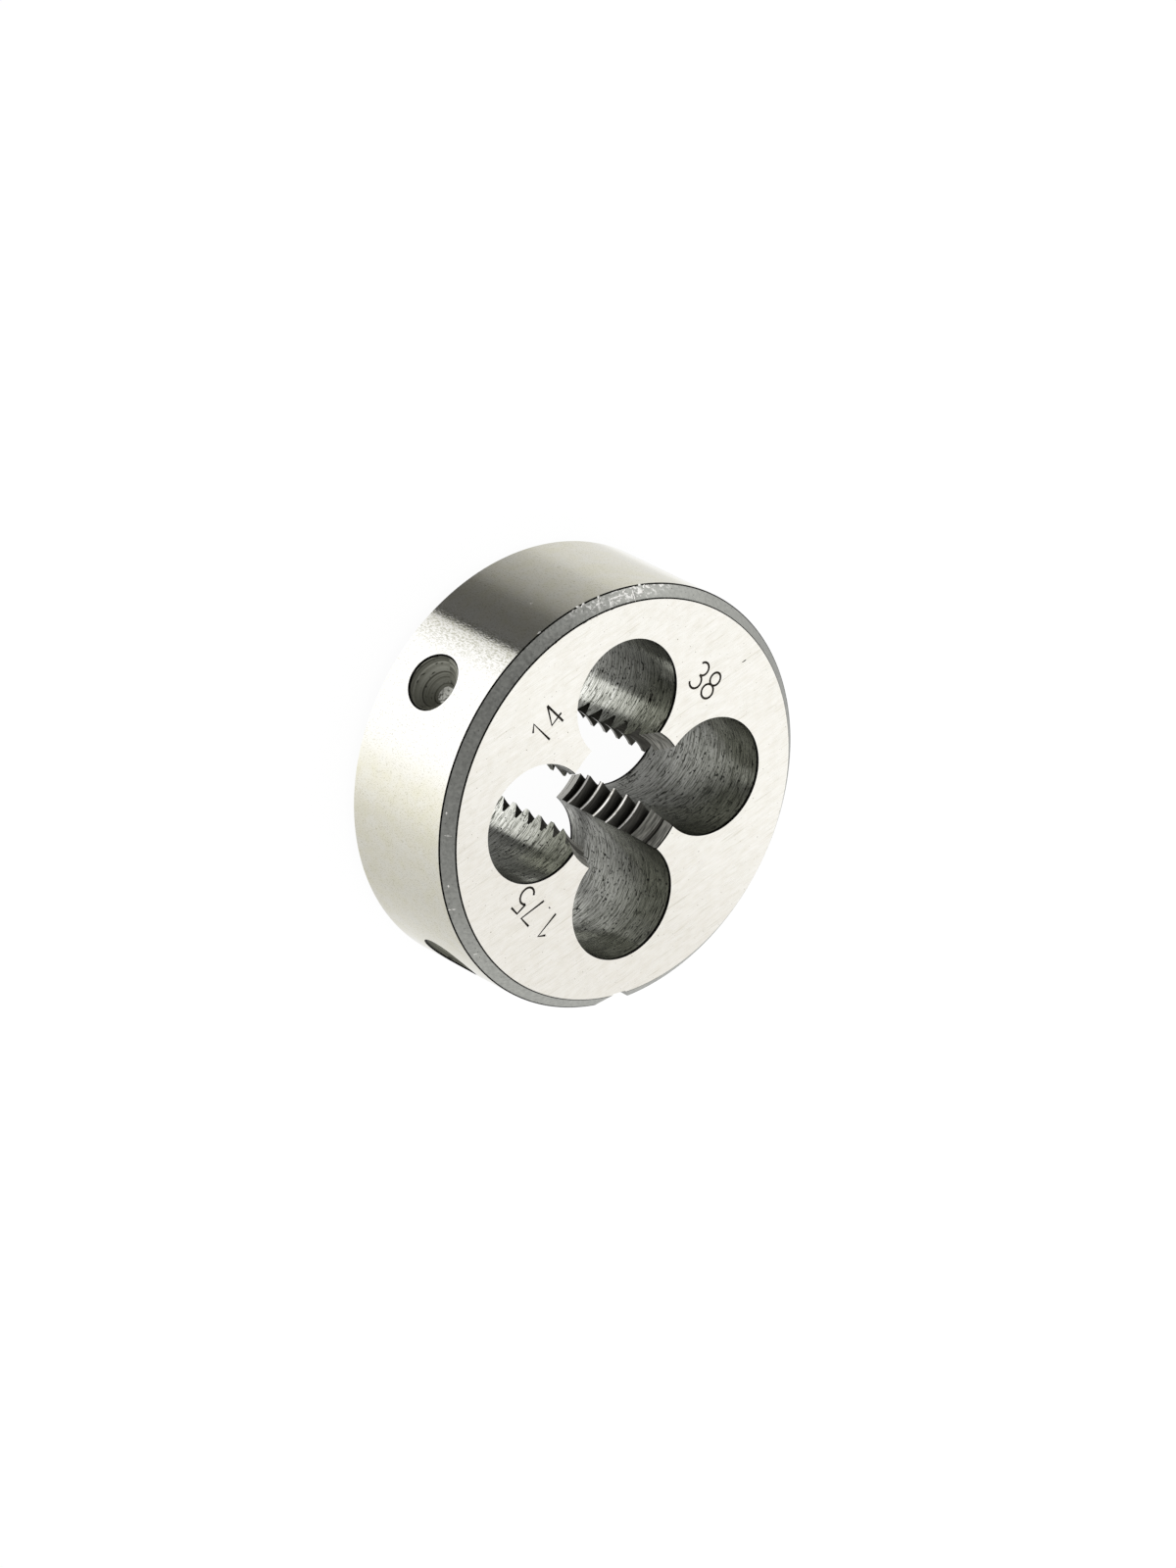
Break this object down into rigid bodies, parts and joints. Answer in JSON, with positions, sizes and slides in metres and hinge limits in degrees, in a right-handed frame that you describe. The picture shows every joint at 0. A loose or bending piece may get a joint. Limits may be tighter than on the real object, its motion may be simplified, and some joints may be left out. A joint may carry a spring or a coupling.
{
  "type": "round threading die",
  "caption": "Round threading die: a thick steel disc with a toothed thread through its centre, chip holes around it, and screw dimples and an adjusting groove in its rim.",
  "frame": {"origin": "centre of the back face, on the thread's axis", "axes": "+Z along the thread's axis towards the marked face; -Y towards the adjusting groove in the rim"},
  "size_m": [0.038, 0.0379, 0.014],
  "materials": {
    "tool_steel": "hardened tool steel, ground on the faces and rim, left dull in the chip holes"
  },
  "bodies": {
    "root": {"threading_die": "tool_steel"}
  },
  "joints": []
}
